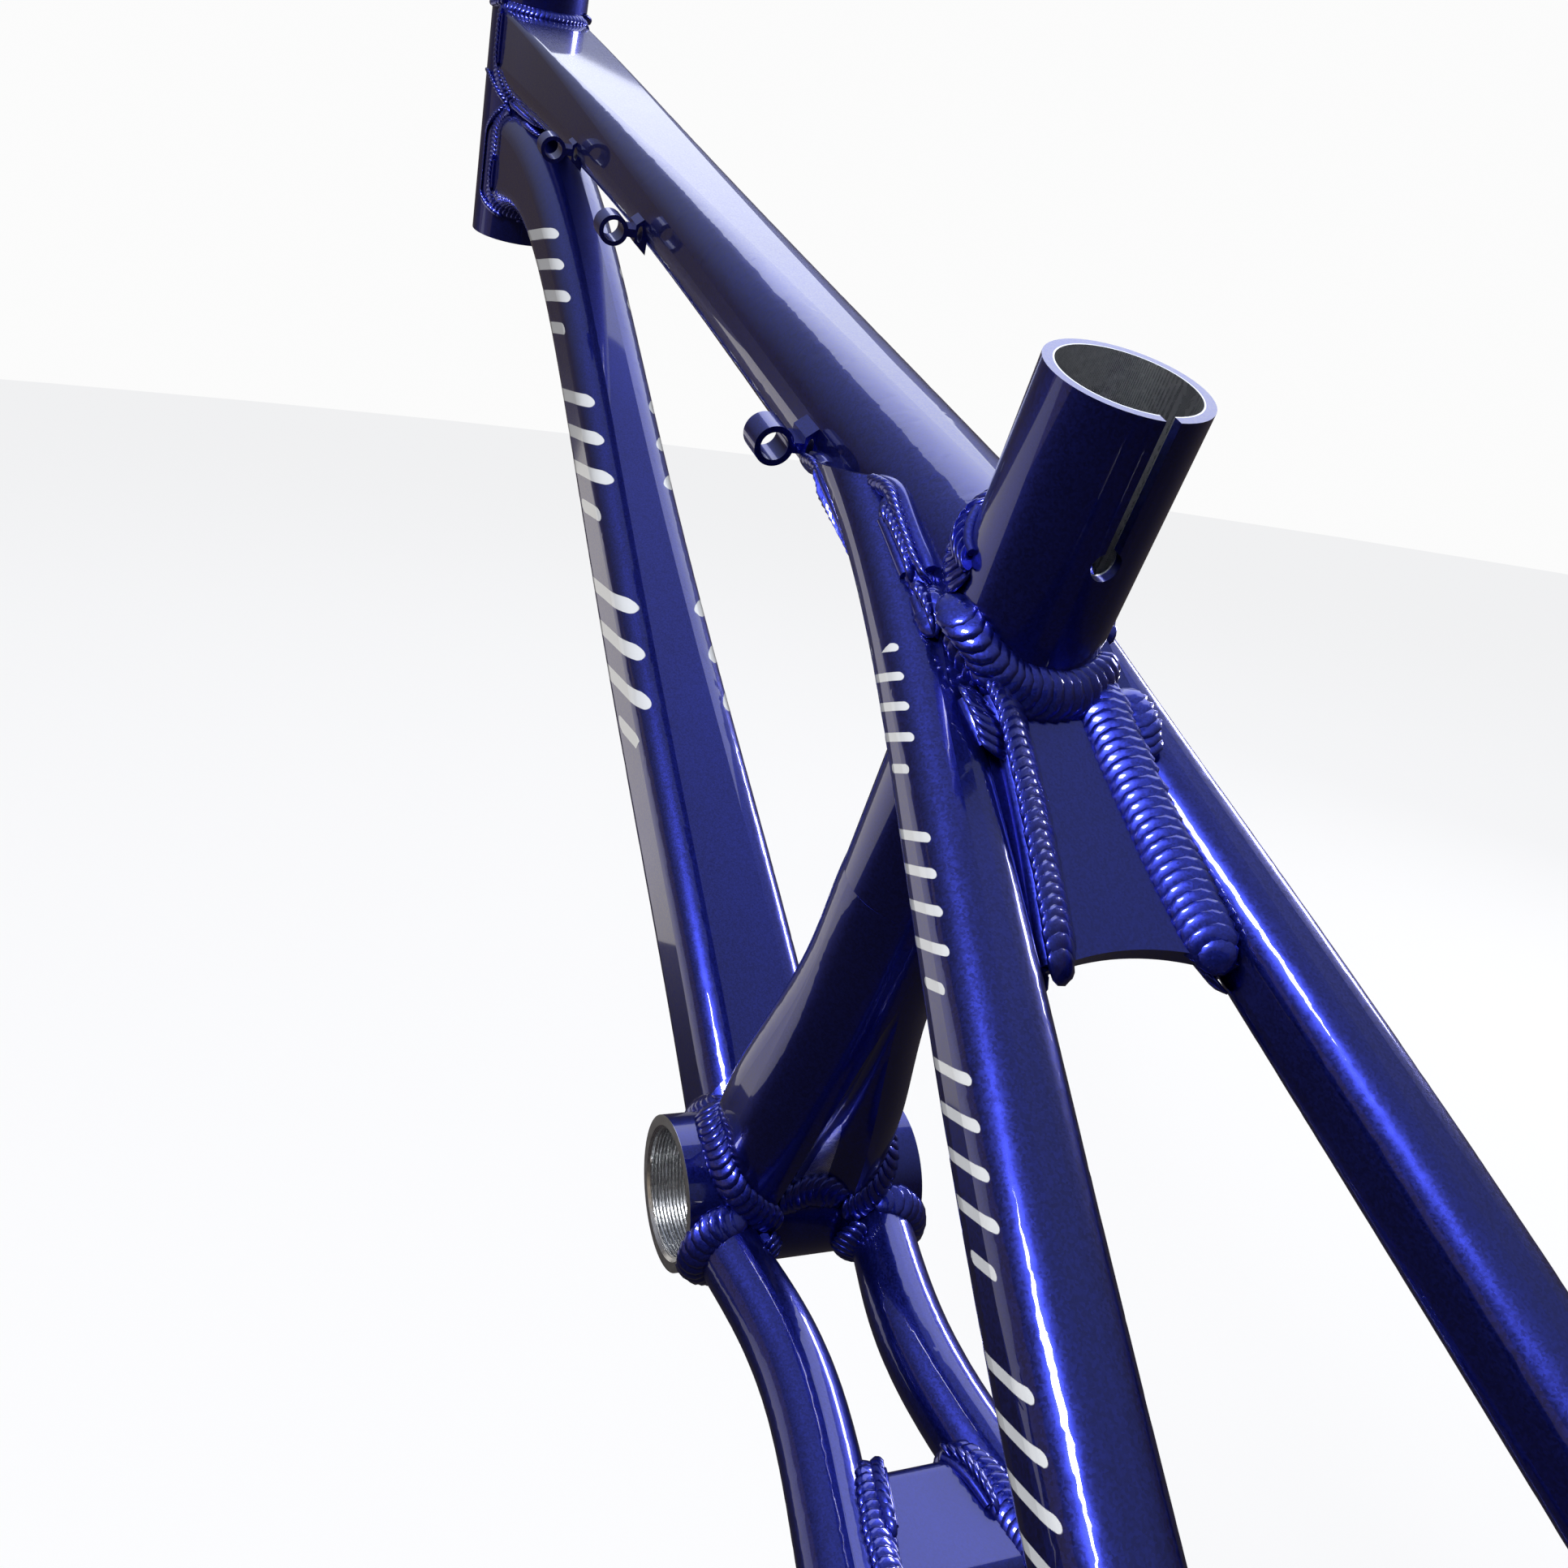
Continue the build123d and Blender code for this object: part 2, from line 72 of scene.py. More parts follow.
class Wire:  # a socket that can be used in sums
    def __init__(self, sheet, socket):
        self.sheet, self.socket = sheet, socket

    def wave(self):
        return self.sum("SINE", self)

    def sum(self, operation, *values):
        return self.sheet.add("ShaderNodeMath", {"operation": operation}, dict(enumerate(values)))

    def __add__(self, other):
        return self.sum("ADD", self, other)

    def __sub__(self, other):
        return self.sum("SUBTRACT", self, other)

    def __mul__(self, other):
        return self.sum("MULTIPLY", self, other)

    def __truediv__(self, other):
        return self.sum("DIVIDE", self, other)

    def __radd__(self, other):
        return self.sum("ADD", other, self)

    def __rsub__(self, other):
        return self.sum("SUBTRACT", other, self)

    def __rmul__(self, other):
        return self.sum("MULTIPLY", other, self)

    def __abs__(self):
        return self.sum("ABSOLUTE", self)

    def __mod__(self, other):
        return self.sum("FLOORED_MODULO", self, other)

    def above(self, value):
        return self.sum("GREATER_THAN", self, value)

    def below(self, value):
        return self.sum("LESS_THAN", self, value)

    def atLeast(self, value):
        return self.sum("MAXIMUM", self, value)

    def root(self):
        return self.sum("SQRT", self)

    def ramp(self, low, high):  # 0 at low, 1 at high, smooth between
        return self.sheet.add("ShaderNodeMapRange", {"interpolation_type": "SMOOTHSTEP"},
                              {"Value": self, "From Min": low, "From Max": high})


class Sheet:  # one material's nodes
    def __init__(self, name):
        self.material = bpy.data.materials.new(name)
        self.material.use_nodes = True
        self.tree = self.material.node_tree
        self.tree.nodes.clear()
        self.coordinates = self.add("ShaderNodeTexCoord", output="Object")
        self.x, self.y, self.z = (
            self.add("ShaderNodeSeparateXYZ", sockets={0: self.coordinates}, output=axis) for axis in "XYZ")

    def add(self, kind, settings=None, sockets=None, output=0):
        node = self.tree.nodes.new(kind)
        for key, value in (settings or {}).items():
            setattr(node, key, value)
        for key, value in (sockets or {}).items():
            if isinstance(value, Wire):
                self.tree.links.new(value.socket, node.inputs[key])
            else:
                node.inputs[key].default_value = value
        return Wire(self, node.outputs[output])

    def noise(self, scale, detail):
        sockets = {"Vector": self.coordinates, "Scale": scale, "Detail": detail}
        return self.add("ShaderNodeTexNoise", None, sockets, "Fac")

    def cells(self, scale):
        sockets = {"Vector": self.coordinates, "Scale": scale}
        return self.add("ShaderNodeTexVoronoi", None, sockets, "Color")

    def bump(self, strength, distance, height):
        return self.add("ShaderNodeBump", None, {"Strength": strength, "Distance": distance, "Height": height})

    def blend(self, factor, first, second):
        node = self.tree.nodes.new("ShaderNodeMix")
        node.data_type = "RGBA"
        for key, value in ((0, factor), (6, first), (7, second)):
            if isinstance(value, Wire):
                self.tree.links.new(value.socket, node.inputs[key])
            else:
                node.inputs[key].default_value = value
        return Wire(self, node.outputs[2])

    def along(self, direction, start=Vector((0, 0, 0))):  # distance from start along a direction
        total = self.x * direction.x + self.z * direction.z
        if direction.y:
            total = total + self.y * direction.y
        return total - start.dot(direction)

    def radius(self, start, direction):  # distance from a line in the frame's middle plane
        across = self.along(Vector((-direction.z, 0, direction.x)), start)
        return (across * across + self.y * self.y).root()

    def finish(self, **sockets):
        surface = self.add("ShaderNodeBsdfPrincipled", None,
                           {key.replace("_", " "): value for key, value in sockets.items()})
        output = self.tree.nodes.new("ShaderNodeOutputMaterial")
        self.tree.links.new(surface.socket, output.inputs["Surface"])
        return self.material


paint = {"deep": (0.008, 0.011, 0.15), "bright": (0.020, 0.032, 0.36), "metallic": 0.92,
         "flakeScale": 2400, "peelScale": 320, "peelHeight": 0.05 * mm}
ink = {"colour": (0.80, 0.82, 0.84)}
alloy = {"colour": (0.80, 0.81, 0.83), "toolPitch": 0.3 * mm, "toolDepth": 0.02 * mm}


def tone(colour, strength=1.0):
    return [part * strength for part in colour] + [1.0]


def candyPaint(name, bare=None, marks=None, lift=1.0):  # metallic blue under clear lacquer
    sheet = Sheet(name)
    spark = sheet.add("ShaderNodeSeparateColor", None, {0: sheet.cells(paint["flakeScale"])})
    cloud = sheet.noise(9, 3).ramp(0.3, 0.7)
    share = cloud * 0.35 + spark * 0.45
    # lift scales both paint tones; the weld paint uses it as a painted highlight
    colour = sheet.blend(share, tone(paint["deep"], lift), tone(paint["bright"], lift))
    rough = 0.26 + spark * 0.12 + sheet.noise(60, 4) * 0.06
    metal, coat = paint["metallic"], 1.0
    if marks:
        mask = marks(sheet)
        colour = sheet.blend(mask, colour, tone(ink["colour"]))
        metal = metal * (1 - mask)
    if bare:
        mask = bare(sheet)
        turned = (sheet.y * (2 * pi / alloy["toolPitch"])).wave()
        grain = sheet.noise(900, 2)
        bright = sheet.blend(grain, tone(alloy["colour"], 0.85), tone(alloy["colour"]))
        colour = sheet.blend(mask, colour, bright)
        rough = rough * (1 - mask) + mask * (0.22 + turned * 0.04 + grain * 0.14)
        metal = metal * (1 - mask) + mask
        coat = coat * (1 - mask)
    peel = sheet.noise(paint["peelScale"], 2) + sheet.noise(1400, 1) * 0.12
    bump = sheet.bump(0.35, paint["peelHeight"], peel)
    return sheet.finish(Base_Color=colour, Metallic=metal, Roughness=rough, Normal=bump,
                        Coat_Weight=coat, Coat_Roughness=0.035, Coat_IOR=1.55)


def turnedAlloy(name):  # bare machined metal
    sheet = Sheet(name)
    grain = sheet.noise(700, 3)
    rings = (sheet.y * (2 * pi / alloy["toolPitch"])).wave()
    colour = sheet.blend(grain, tone(alloy["colour"], 0.82), tone(alloy["colour"]))
    rough = 0.17 + grain * 0.2 + rings * 0.02
    bump = sheet.bump(0.3, alloy["toolDepth"], rings + grain)
    return sheet.finish(Base_Color=colour, Metallic=1.0, Roughness=rough, Normal=bump)


def shellBare(sheet):  # end faces and bore
    radius = (sheet.x * sheet.x + sheet.z * sheet.z).root()
    face = abs(sheet.y).above(shell["halfWidth"] - 0.06 * mm)
    return face.atLeast(radius.below(shell["bore"] + shell["chamfer"]))


def headBare(sheet):
    inside = sheet.radius(headLine["start"], headLine["along"]).below(headLine["cup"] + 0.3 * mm)
    height = sheet.along(headLine["along"], headLine["start"])
    ends = abs(height - headLine["length"] / 2).above(headLine["length"] / 2 - 0.06 * mm)
    return inside.atLeast(ends)


def seatBare(sheet):
    return sheet.radius(seatLine["start"], seatLine["along"]).below(seatLine["bore"] + 0.3 * mm)


mounts = {mount["name"]: mount for mount in frame["record"]["mounts"]}
boss = mounts["brake_boss_left"]
stud = {"middle": Vector(boss["pos_m"]), "along": Vector(boss["axis"]), "length": boss["dims"]["length_mm"] * mm}


def studBare(sheet):  # the stud stands clear of its painted base
    return sheet.along(stud["along"], stud["middle"]).above(0.2 * mm - stud["length"] / 2)


def pills(sheet, u, v, size):  # a row of leaning bars with round ends, in groups
    leaning = u - size["start"] + v * size["lean"]
    cell = leaning % size["pitch"] - size["pitch"] / 2
    place = ((leaning - cell) / size["pitch"]) % size["group"]
    reach = size["half"] * (0.6 + 0.4 * place.above(1.0)) - size["stroke"]
    across = cell * cos(atan(size["lean"]))
    end = (abs(v - size["centre"]) - reach).atLeast(0.0)
    distance = (across * across + end * end).root()
    inside = 1 - distance.ramp(size["stroke"] - 0.08 * mm, size["stroke"] + 0.08 * mm)
    return inside * place.below(size["group"] - 1) * u.above(size["start"]) * u.below(size["end"])


downMarks = {"start": 150 * mm, "end": 455 * mm, "pitch": 21 * mm, "lean": 1.3, "half": 14.5 * mm,
             "stroke": 2.3 * mm, "centre": 1 * mm, "group": 5}
stayMarks = {"start": 92 * mm, "end": 345 * mm, "pitch": 7.4 * mm, "lean": 0.8, "half": 5.2 * mm,
             "stroke": 0.85 * mm, "centre": 0.5 * mm, "group": 6}
stay = {"foot": Vector((-354, 0, -21)) * mm, "slope": 0.6547}


def sideMarks(sheet):  # both flat sides of the down tube
    u = sheet.along(Vector((cos(downAngle), 0, sin(downAngle))))
    v = sheet.along(Vector((-sin(downAngle), 0, cos(downAngle)))) + 7 * mm
    return pills(sheet, u, v, downMarks) * abs(sheet.y).above(5 * mm)


def outwardMarks(sheet):  # the outer side of each seatstay
    u = sheet.along(Vector((1, 0, stay["slope"])).normalized(), stay["foot"])
    v = sheet.along(Vector((-stay["slope"], 0, 1)).normalized(), stay["foot"])
    normal = sheet.add("ShaderNodeTexCoord", output="Normal")
    facing = sheet.add("ShaderNodeSeparateXYZ", None, {0: normal}, "Y")
    return pills(sheet, u, v, stayMarks) * (facing * sheet.y).above(0.0) * abs(facing).above(0.35)


framePaint = candyPaint("frame_paint")
# The welds wear the frame's own paint; here its base colour is lifted 1.5 times as a painted highlight, for
# brighter glints on the beads.
weldHighlightPaint = candyPaint("weld_paint_painted_highlight", lift=1.5)
finishes = {
    "bottom_bracket_shell": candyPaint("shell_paint", bare=shellBare),
    "head_tube": candyPaint("head_paint", bare=headBare),
    "seat_tube": candyPaint("seat_paint", bare=seatBare),
    "down_tube": candyPaint("down_paint", marks=sideMarks),
    "seatstay": candyPaint("seatstay_paint", marks=outwardMarks),
    "brake_boss": candyPaint("boss_paint", bare=studBare),
    "cable_guide": candyPaint("guide_paint", lift=1.2),
    "weld": weldHighlightPaint}
threadAlloy = turnedAlloy("thread_alloy")


def finishOf(name):
    return next((finish for start, finish in finishes.items() if name.startswith(start)), framePaint)


for name, node in nodes.items():
    node.data.materials.clear()
    node.data.materials.append(finishOf(name))
print("finishes on", len(nodes), "nodes")


bead = {"pitch": 2.1 * mm, "leg": 4.4 * mm, "halfLength": 3.6 * mm, "halfThickness": 1.2 * mm, "tilt": 17,
        "spread": 1.14, "sink": 0.6 * mm, "core": 0.605, "coreReach": 0.55, "coreSink": 0.36,
        "taper": (0.8, 0.92), "sizeDraw": 0.06, "tiltDraw": 2, "seed": 11}
# Where a bead's line is looked for, and which lines are one line.
search = {"touch": 0.22 * mm, "merge": 0.002 * mm, "corner": 20, "shortest": 1.5 * mm, "smooth": 4, "onward": 0.3,
          "gap": 7 * mm, "sameHeading": 0.7, "sameSide": 0.4, "acrossGap": 0.6, "crowd": 0.95, "fewest": 5}
legs = {"weld_head": 3.6 * mm, "weld_down_top": 3.4 * mm, "weld_plate_seatstay": 5.4 * mm,
        "weld_plate": 6.2 * mm, "weld_seatstay_seat": 5.4 * mm, "weld_seat_shell": 5.4 * mm,
        "weld_chainstay_shell": 5.4 * mm, "weld_down_shell": 5.0 * mm, "weld_top_seat": 4.8 * mm}
plateLay = {"up": Vector((-sin(plateAngle), 0, cos(plateAngle))), "lean": 0.6, "half": radians(28), "upper": 0.2}
draw = random.Random(bead["seed"])


def deselect():
    if bpy.context.object and bpy.context.object.mode != "OBJECT":
        bpy.ops.object.mode_set(mode="OBJECT")
    bpy.ops.object.select_all(action="DESELECT")


def pick(where):  # in edit mode, selects the vertices for which where(place) is true
    mesh = bmesh.from_edit_mesh(bpy.context.object.data)
    for vertex in mesh.verts:
        vertex.select = where(vertex.co)
    mesh.select_flush_mode()
    bmesh.update_edit_mesh(bpy.context.object.data)


def makeScale():  # one scale of a bead: a thin lens with a fuller front lip
    deselect()
    bpy.ops.mesh.primitive_uv_sphere_add(segments=12, ring_count=7, radius=1)
    scale = bpy.context.object
    scale.name = "bead_scale"
    bpy.ops.object.mode_set(mode="EDIT")
    bpy.ops.mesh.select_all(action="SELECT")
    bpy.ops.mesh.bisect(plane_co=(0, 0, -0.3), plane_no=(0, 0, 1), clear_inner=True, use_fill=True)
    pick(lambda place: place.x > 0.5 and place.z > 0)
    bpy.ops.transform.resize(value=(1, 1, 1.25), center_override=(0, 0, 0))
    pick(lambda place: place.x < -0.4)
    bpy.ops.transform.resize(value=(1, 0.85, 0.7), center_override=(0, 0, 0))
    bpy.ops.object.mode_set(mode="OBJECT")
    bpy.ops.object.shade_smooth_by_angle(angle=radians(60))
    return scale


def treeOf(names):
    points, faces = [], []
    for name in names:
        mesh, start = nodes[name].data, len(points)
        points += [vertex.co.copy() for vertex in mesh.vertices]
        faces += [[start + i for i in face.vertices] for face in mesh.polygons]
    return BVHTree.FromPolygons(points, faces)


def rootLines(name):  # the corner lines that a weld fills: lists of (place, outward, half angle)
    mesh = bmesh.new()
    mesh.from_mesh(nodes[name].data)
    bmesh.ops.remove_doubles(mesh, verts=mesh.verts, dist=search["merge"])
    mesh.normal_update()
    touching = {face: tubeTree.find_nearest(face.calc_center_median())[3] < search["touch"]
                for face in mesh.faces}
    corner = [edge for edge in mesh.edges if len(edge.link_faces) == 2 and edge.is_convex
              and all(touching[face] for face in edge.link_faces)
              and edge.calc_face_angle(0) > radians(search["corner"])]
    ends = {}
    for edge in corner:
        for vertex in edge.verts:
            ends.setdefault(vertex, []).append(edge)
    lines, left = [], set(corner)
    while left:
        seed = min(left, key=lambda edge: (min(len(ends[vertex]) for vertex in edge.verts), edge.index))
        left.discard(seed)
        start, vertex = seed.verts if len(ends[seed.verts[0]]) == 1 else reversed(seed.verts)
        chain, run = [start, vertex], [seed]
        while True:
            onward = [edge for edge in ends[vertex] if edge in left]
            if not onward:
                break
            heading = (chain[-1].co - chain[-2].co).normalized()
            straightness = [(e.other_vert(vertex).co - vertex.co).normalized().dot(heading) for e in onward]
            if max(straightness) < search["onward"]:
                break
            edge = onward[straightness.index(max(straightness))]
            left.discard(edge)
            vertex = edge.other_vert(vertex)
            chain.append(vertex)
            run.append(edge)
        if sum(edge.calc_length() for edge in run) < search["shortest"]:
            continue
        line = []
        for i, edge in enumerate(run):
            normals = [-face.normal for face in edge.link_faces]
            outward = (normals[0] + normals[1]).normalized()
            place = (chain[i].co + chain[i + 1].co) / 2
            line.append((chain[i].co.copy(), outward, edge.calc_face_angle(0) / 2))
            line.append((place, outward, edge.calc_face_angle(0) / 2))
        line.append((chain[-1].co.copy(), line[-1][1], line[-1][2]))
        lines.append(line)
    mesh.free()
    return lines


def spaced(line, pitch):  # the same line at even steps, its outward direction smoothed
    reach = [0.0]
    for before, after in zip(line, line[1:]):
        reach.append(reach[-1] + (after[0] - before[0]).length)
    steps = max(2, round(reach[-1] / pitch))
    evenly, i = [], 0
    for step in range(steps + 1):
        target = reach[-1] * step / steps
        while i < len(line) - 2 and reach[i + 1] < target:
            i += 1
        share = (target - reach[i]) / max(reach[i + 1] - reach[i], 1e-9)
        evenly.append([line[i][0].lerp(line[i + 1][0], min(max(share, 0), 1)),
                       line[i][1].lerp(line[i + 1][1], min(max(share, 0), 1)), line[i][2]])
    for turn in range(search["smooth"]):
        near = [(evenly[max(k - 1, 0)], evenly[k], evenly[min(k + 1, steps)]) for k in range(steps + 1)]
        evenly = [[b[0] * 0.5 + (a[0] + c[0]) * 0.25 if a is not b and c is not b else b[0],
                   (a[1] + b[1] + c[1]).normalized(), (a[2] + b[2] + c[2]) / 3] for a, b, c in near]
    return evenly


def follows(first, second):  # whether one line carries on from the other's end
    gap = second[0][0] - first[-1][0]
    ahead = (first[-1][0] - first[-3][0]).normalized()
    onward = (second[2][0] - second[0][0]).normalized()
    return (gap.length < search["gap"] and ahead.dot(onward) > search["sameHeading"]
            and first[-1][1].dot(second[0][1]) > search["sameSide"]
            and (gap.length < search["touch"] or gap.normalized().dot(ahead) > search["acrossGap"]))


def joined(lines):  # lines that carry on across a short gap become one
    while True:
        pair = next(((a, b, first + second) for a, b in combinations(range(len(lines)), 2)
                     for first in (lines[a], lines[a][::-1]) for second in (lines[b], lines[b][::-1])
                     if follows(first, second)), None)
        if not pair:
            return lines
        lines = [line for k, line in enumerate(lines) if k not in pair[:2]] + [pair[2]]


def legOf(name):
    return next((size for start, size in legs.items() if name.startswith(start)), bead["leg"])


def settled(name, steps):  # along the plate's upper face the bead lies flat over the joint
    facing = steps[len(steps) // 2][1].dot(plateLay["up"])
    if not name.startswith("weld_plate_seatstay") or facing < plateLay["upper"]:
        return steps
    inward = {side: (plateLay["up"] - Vector((0, plateLay["lean"] * side, 0))).normalized() for side in (-1, 1)}
    return [[place, inward[copysign(1, place.y)], plateLay["half"]] for place, outward, half in steps]


def legAt(name, k, steps):  # thinner towards a bead's ends
    fromEnd = min(k, len(steps) - 1 - k)
    return legOf(name) * (bead["taper"][fromEnd] if fromEnd < len(bead["taper"]) else 1)


def beadRuns(names):  # the longest lines come first and the rest keep clear of them
    rows = [(name, settled(name, spaced(line, bead["pitch"])))
            for name in names for line in joined(rootLines(name))]
    rows.sort(key=lambda row: (-len(row[1]), row[0], tuple(row[1][0][0])))
    laid, runs = [], {name: [] for name in names}
    for name, steps in rows:
        near = search["crowd"] * legOf(name)
        free = [not any((place - other).length < near and outward.dot(facing) > 0
                        for other, facing in laid) for place, outward, half in steps]
        if not runs[name]:
            free = [True] * len(steps)
        for clear, group in groupby(range(len(steps)), key=lambda k: free[k]):
            run = [steps[k] for k in group]
            if clear and len(run) >= search["fewest"]:
                runs[name].append(run)
        laid += [(place, outward) for run in runs[name][-1:] for place, outward, half in run]
    return runs


def layScales(name, steps, scale):
    made = []
    for k, (place, outward, half) in enumerate(steps):
        leg = legAt(name, k, steps)
        forward = (steps[min(k + 1, len(steps) - 1)][0] - steps[max(k - 1, 0)][0]).normalized()
        outward = (outward - forward * outward.dot(forward)).normalized()
        across = outward.cross(forward)
        middle = place + outward * (leg * sin(half) - bead["sink"])
        width = leg * cos(half) * bead["spread"] * (1 + draw.uniform(-bead["sizeDraw"], bead["sizeDraw"]))
        turn = Matrix((forward, across, outward)).transposed().to_4x4()
        relative = leg / bead["leg"]
        shape = Matrix.Diagonal((bead["halfLength"] * relative, width,
                                 bead["halfThickness"] * (0.9 + 0.1 * relative), 1))
        tilt = draw.uniform(-bead["tiltDraw"], bead["tiltDraw"]) - bead["tilt"]
        lean = Matrix.Rotation(radians(tilt), 4, "Y")
        copy = bpy.data.objects.new(name + "_scale", scale.data.copy())
        copy.data.transform(Matrix.Translation(middle) @ turn @ lean @ shape)
        bpy.context.scene.collection.objects.link(copy)
        made.append(copy)
    return made


def layCore(name, steps):  # the round wire of metal under the scales
    curve = bpy.data.curves.new(name + "_core", "CURVE")
    curve.dimensions = "3D"
    curve.bevel_depth, curve.bevel_resolution, curve.use_fill_caps = 1.0, 2, True
    spline = curve.splines.new("POLY")
    spline.points.add(len(steps) - 1)
    for k, (point, (place, outward, half)) in enumerate(zip(spline.points, steps)):
        leg = legAt(name, k, steps)
        rise = bead["coreReach"] * sin(half) - bead["coreSink"] * cos(half)
        point.co = (*(place + outward * leg * rise), 1)
        point.radius = leg * bead["core"] * cos(half)
    core = bpy.data.objects.new(name + "_core", curve)
    bpy.context.scene.collection.objects.link(core)
    deselect()
    core.select_set(True)
    bpy.context.view_layer.objects.active = core
    bpy.ops.object.convert(target="MESH")
    return bpy.context.object


def layBead(name, runs, scale):
    made = [part for steps in runs for part in (*layScales(name, steps, scale), layCore(name, steps))]
    if not made:
        print("no corner line on", name)
        return None
    deselect()
    for part in made:
        part.select_set(True)
    bpy.context.view_layer.objects.active = made[0]
    bpy.ops.object.join()
    laid = bpy.context.object
    laid.name = "bead_" + name[len("weld_"):]
    laid.data.materials.clear()
    laid.data.materials.append(weldHighlightPaint)
    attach(laid, "root")
    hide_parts(name)
    return len(laid.data.polygons)


tubeTree = treeOf([name for name in nodes if not name.startswith("weld_")])
scale = makeScale()
beadNames = [name for name in sorted(nodes) if name.startswith("weld_") and "dropout" not in name]
laidFaces = {name: layBead(name, runs, scale) for name, runs in beadRuns(beadNames).items()}
bpy.data.objects.remove(scale)
print("beads laid:", laidFaces)


thread = {"pitch": 1.058 * mm, "depth": 0.62 * mm, "turns": 20, "steps": 48, "start": 32.9 * mm,
          "buried": 0.06 * mm, "flank": 0.54, "merge": 0.002 * mm}


def makeThread(side):
    deselect()
    size = thread["depth"] / 1.5
    bpy.ops.mesh.primitive_circle_add(vertices=3, radius=1, rotation=(0, 0, radians(90)))
    ridge = bpy.context.object
    ridge.name = "shell_thread_" + ("left" if side > 0 else "right")
    bpy.ops.object.transform_apply(location=True, rotation=True, scale=True)
    bpy.ops.object.mode_set(mode="EDIT")
    bpy.ops.mesh.select_all(action="SELECT")
    bpy.ops.transform.resize(value=(size, thread["pitch"] * thread["flank"], 1), center_override=(0, 0, 0))
    depth = shell["bore"] + thread["buried"] - size / 2
    bpy.ops.transform.translate(value=(depth, side * thread["start"], 0))
    bpy.ops.object.mode_set(mode="OBJECT")
    screw = ridge.modifiers.new("thread", "SCREW")
    screw.axis, screw.angle, screw.screw_offset = "Y", 2 * pi, -side * thread["pitch"]
    screw.iterations, screw.steps, screw.render_steps = thread["turns"], thread["steps"], thread["steps"]
    bpy.ops.object.modifier_apply(modifier=screw.name)
    bpy.ops.object.mode_set(mode="EDIT")
    bpy.ops.mesh.select_all(action="SELECT")
    bpy.ops.mesh.remove_doubles(threshold=thread["merge"])
    bpy.ops.mesh.fill_holes(sides=4)
    bpy.ops.mesh.select_all(action="SELECT")
    bpy.ops.mesh.normals_make_consistent(inside=False)
    bpy.ops.object.mode_set(mode="OBJECT")
    ridge.data.materials.append(threadAlloy)
    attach(ridge, "root")
    return ridge


for side in (1, -1):
    makeThread(side)
print("threads cut")


studio = {"floorDrop": 0.30, "floorSize": 14, "domeSize": 7, "glow": 0.84, "floorTone": (0.13, 0.13, 0.135),
          "domeTone": (0.97, 0.97, 0.98), "below": (0.035, 0.03, 0.032), "level": (0.07, 0.055, 0.045),
          "above": (0.30, 0.34, 0.44), "light": 1.0}


def glowSheet(name, colour, glow, light=(1, 1, 1)):  # paper that stays even under the lamps
    sheet = Sheet(name)
    shade = sheet.blend(sheet.noise(3, 2), tone(colour, 0.99), tone(colour))
    return sheet.finish(Base_Color=shade, Roughness=0.95, Specular_IOR_Level=0.0,
                        Emission_Color=tone(light), Emission_Strength=glow)


def cameraOnly(thing):  # seen as a backdrop, not in the lacquer
    thing.visible_glossy = False
    thing.visible_diffuse = False


deselect()
floorHeight = cadBox[0][2] - studio["floorDrop"]
bpy.ops.mesh.primitive_plane_add(size=studio["floorSize"], location=(0, 0, floorHeight))
floor = bpy.context.object
floor.name = "studio_floor"
floor.data.materials.append(glowSheet("floor_paper", studio["floorTone"], studio["glow"]))
cameraOnly(floor)

deselect()
bpy.ops.mesh.primitive_uv_sphere_add(segments=48, ring_count=24, radius=studio["domeSize"])
dome = bpy.context.object
dome.name = "studio_dome"
bpy.ops.object.mode_set(mode="EDIT")
bpy.ops.mesh.select_all(action="SELECT")
bpy.ops.mesh.flip_normals()
bpy.ops.object.mode_set(mode="OBJECT")
dome.data.materials.append(glowSheet("dome_paper", (0.0, 0.0, 0.0), studio["domeTone"][0]))
cameraOnly(dome)
dome.visible_shadow = False

world = bpy.data.worlds.new("studio_sky")
bpy.context.scene.world = world
world.use_nodes = True
sky = world.node_tree
background = sky.nodes["Background"]
heading = sky.nodes.new("ShaderNodeTexCoord")
split = sky.nodes.new("ShaderNodeSeparateXYZ")
ramp = sky.nodes.new("ShaderNodeValToRGB")
shift = sky.nodes.new("ShaderNodeMath")
shift.operation = "MULTIPLY_ADD"
shift.inputs[1].default_value = shift.inputs[2].default_value = 0.5
sky.links.new(heading.outputs["Generated"], split.inputs[0])
sky.links.new(split.outputs["Z"], shift.inputs[0])
sky.links.new(shift.outputs[0], ramp.inputs[0])
sky.links.new(ramp.outputs[0], background.inputs["Color"])
ramp.color_ramp.elements[0].position, ramp.color_ramp.elements[0].color = 0.3, tone(studio["below"])
ramp.color_ramp.elements[1].position, ramp.color_ramp.elements[1].color = 0.9, tone(studio["above"])
ramp.color_ramp.elements.new(0.55).color = tone(studio["level"])
background.inputs["Strength"].default_value = studio["light"]


def softLight(name, place, target, size, power, colour=(1, 1, 1)):
    light = bpy.data.lights.new(name, "AREA")
    light.shape, light.size, light.size_y = "RECTANGLE", size[0], size[1]
    light.energy, light.color = power, colour
    lamp = bpy.data.objects.new(name, light)
    lamp.location = place
    lamp.rotation_euler = (Vector(target) - Vector(place)).to_track_quat("-Z", "Y").to_euler()
    bpy.context.scene.collection.objects.link(lamp)


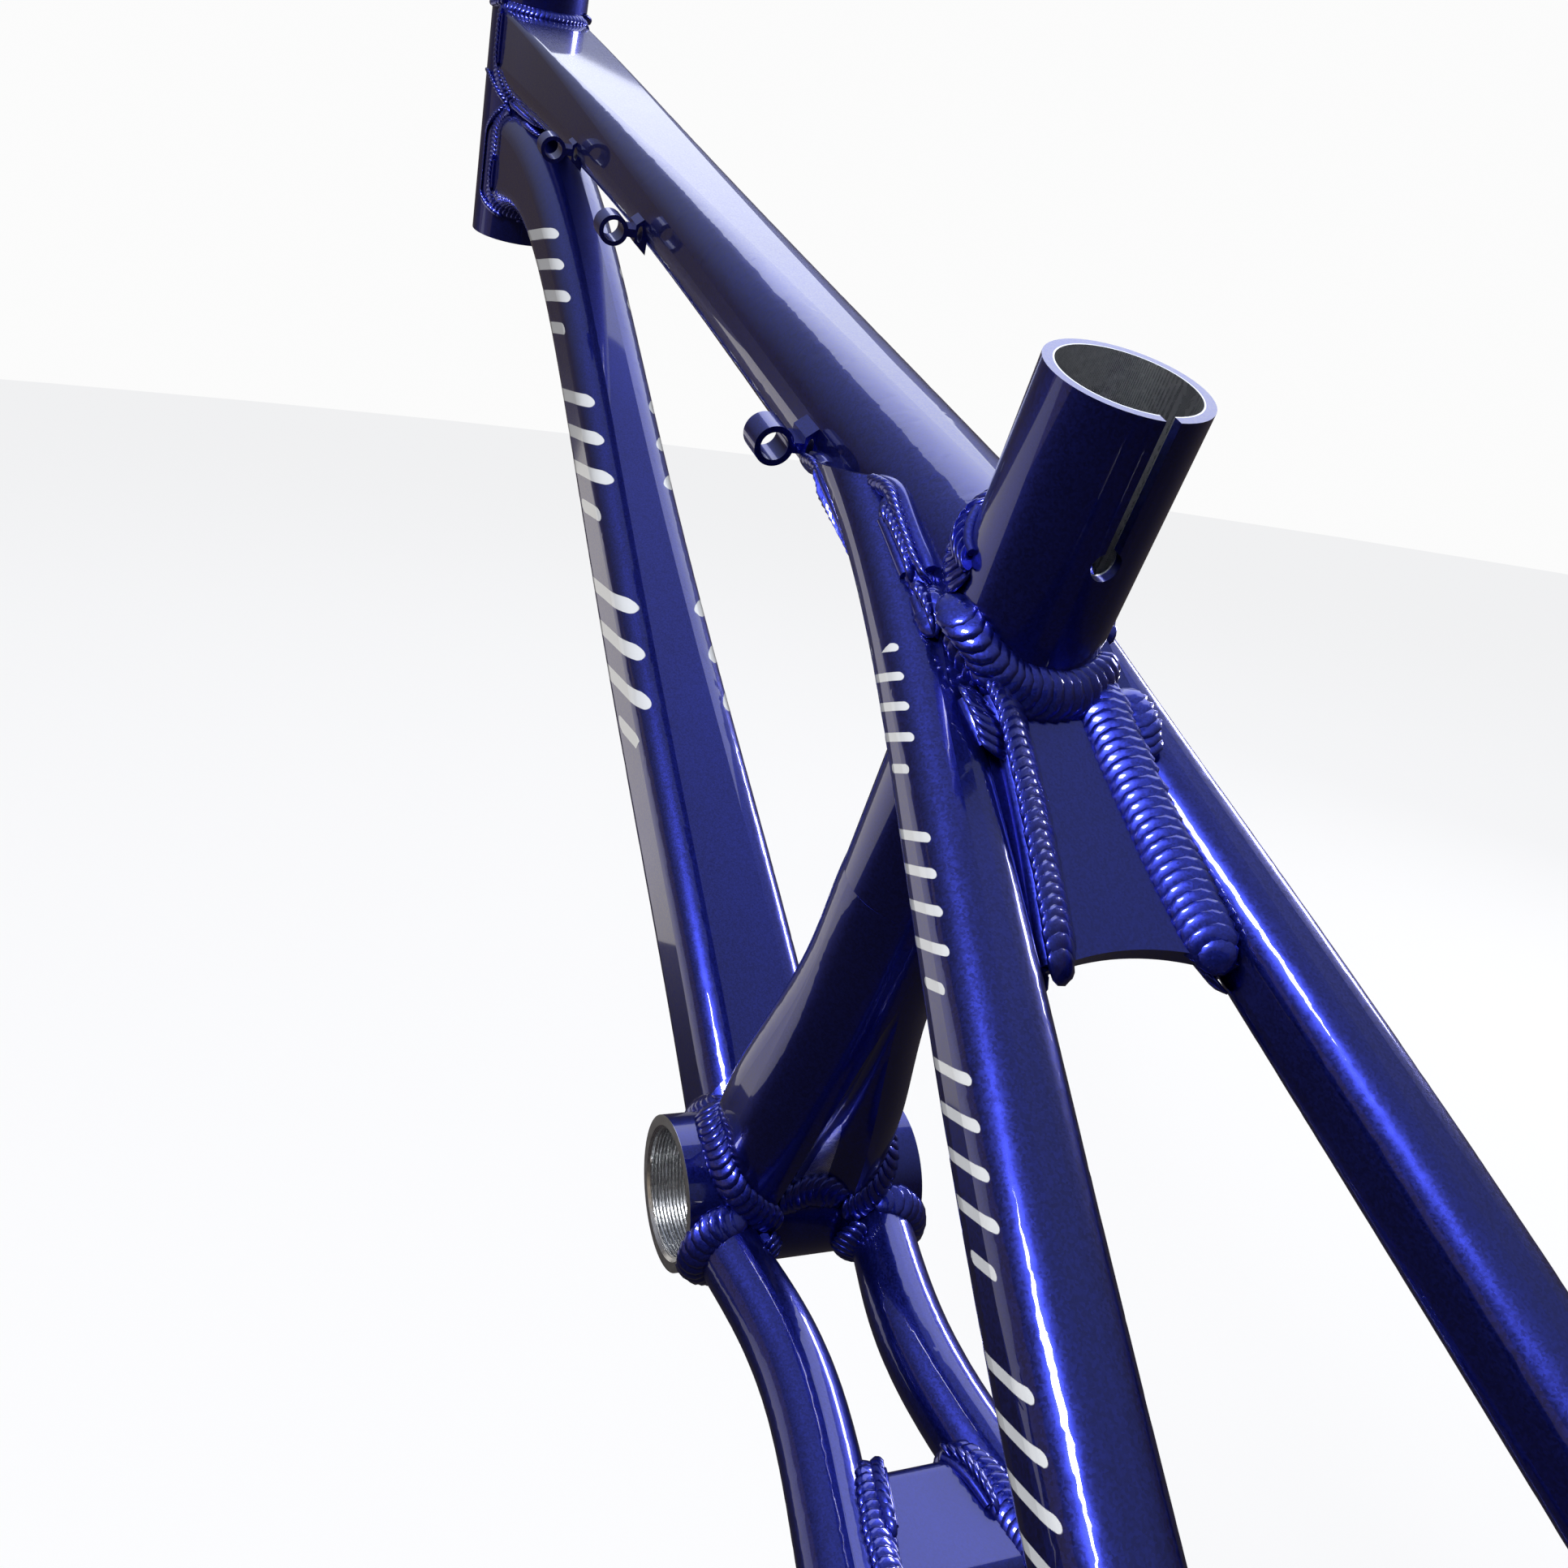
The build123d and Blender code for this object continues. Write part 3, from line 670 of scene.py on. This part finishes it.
softLight("keyLight", (-0.5, 1.1, 1.5), (0, 0, 0.15), (0.55, 0.3), 30)
softLight("skyLight", (1.55, -1.0, 2.15), (0.1, 0, 0.15), (2.6, 2.0), 26, (0.88, 0.92, 1.0))
softLight("rimLight", (0.6, -1.6, 0.6), (0, 0, 0.1), (0.7, 0.25), 12)

# Cards that only show in the lacquer and the bare metal, as a workshop's walls do.
cards = {"leftWall": {"place": (0.3, 1.9, 0.2), "size": (3.0, 0.9), "light": (0.30, 0.24, 0.17)},
         "lowWall": {"place": (1.5, 1.1, -0.35), "size": (1.8, 0.9), "light": (0.80, 0.76, 0.70)},
         "behindWall": {"place": (-2.2, 0.6, 0.5), "size": (2.4, 1.5), "light": (0.03, 0.032, 0.045)}}
cardTarget = Vector((0.1, 0, 0.1))
for name, card in cards.items():
    deselect()
    bpy.ops.mesh.primitive_plane_add(size=1)
    wall = bpy.context.object
    wall.name = name
    wall.data.materials.append(glowSheet(name + "_cloth", (0, 0, 0), 1.0, card["light"]))
    facing = (cardTarget - Vector(card["place"])).to_track_quat("Z", "Y").to_matrix().to_4x4()
    shape = Matrix.Diagonal((*card["size"], 1, 1))
    wall.data.transform(Matrix.Translation(card["place"]) @ facing @ shape)
    wall.visible_camera = False
    wall.visible_shadow = False
    wall.visible_diffuse = False

camera = {"place": Vector((-296.68, 145.34, 223.81)) * mm, "forward": Vector((0.8775, -0.3610, -0.3157)),
          "right": Vector((-0.3412, -0.9326, 0.1180)), "lens": 31.05, "shiftX": 0.0200, "shiftY": 0.0045}
lens = bpy.data.cameras.new("studioCamera")
lens.sensor_width, lens.lens = 36, camera["lens"]
lens.shift_x, lens.shift_y = camera["shiftX"], camera["shiftY"]
lens.clip_start = 0.01
viewer = bpy.data.objects.new("studioCamera", lens)
bpy.context.scene.collection.objects.link(viewer)
back = -camera["forward"].normalized()
right = (camera["right"] - back * camera["right"].dot(back)).normalized()
turn = Matrix((right, back.cross(right), back)).transposed().to_4x4()
viewer.matrix_world = Matrix.Translation(camera["place"]) @ turn
bpy.context.scene.camera = viewer
bpy.context.scene.view_settings.view_transform = "Standard"
print("studio set")
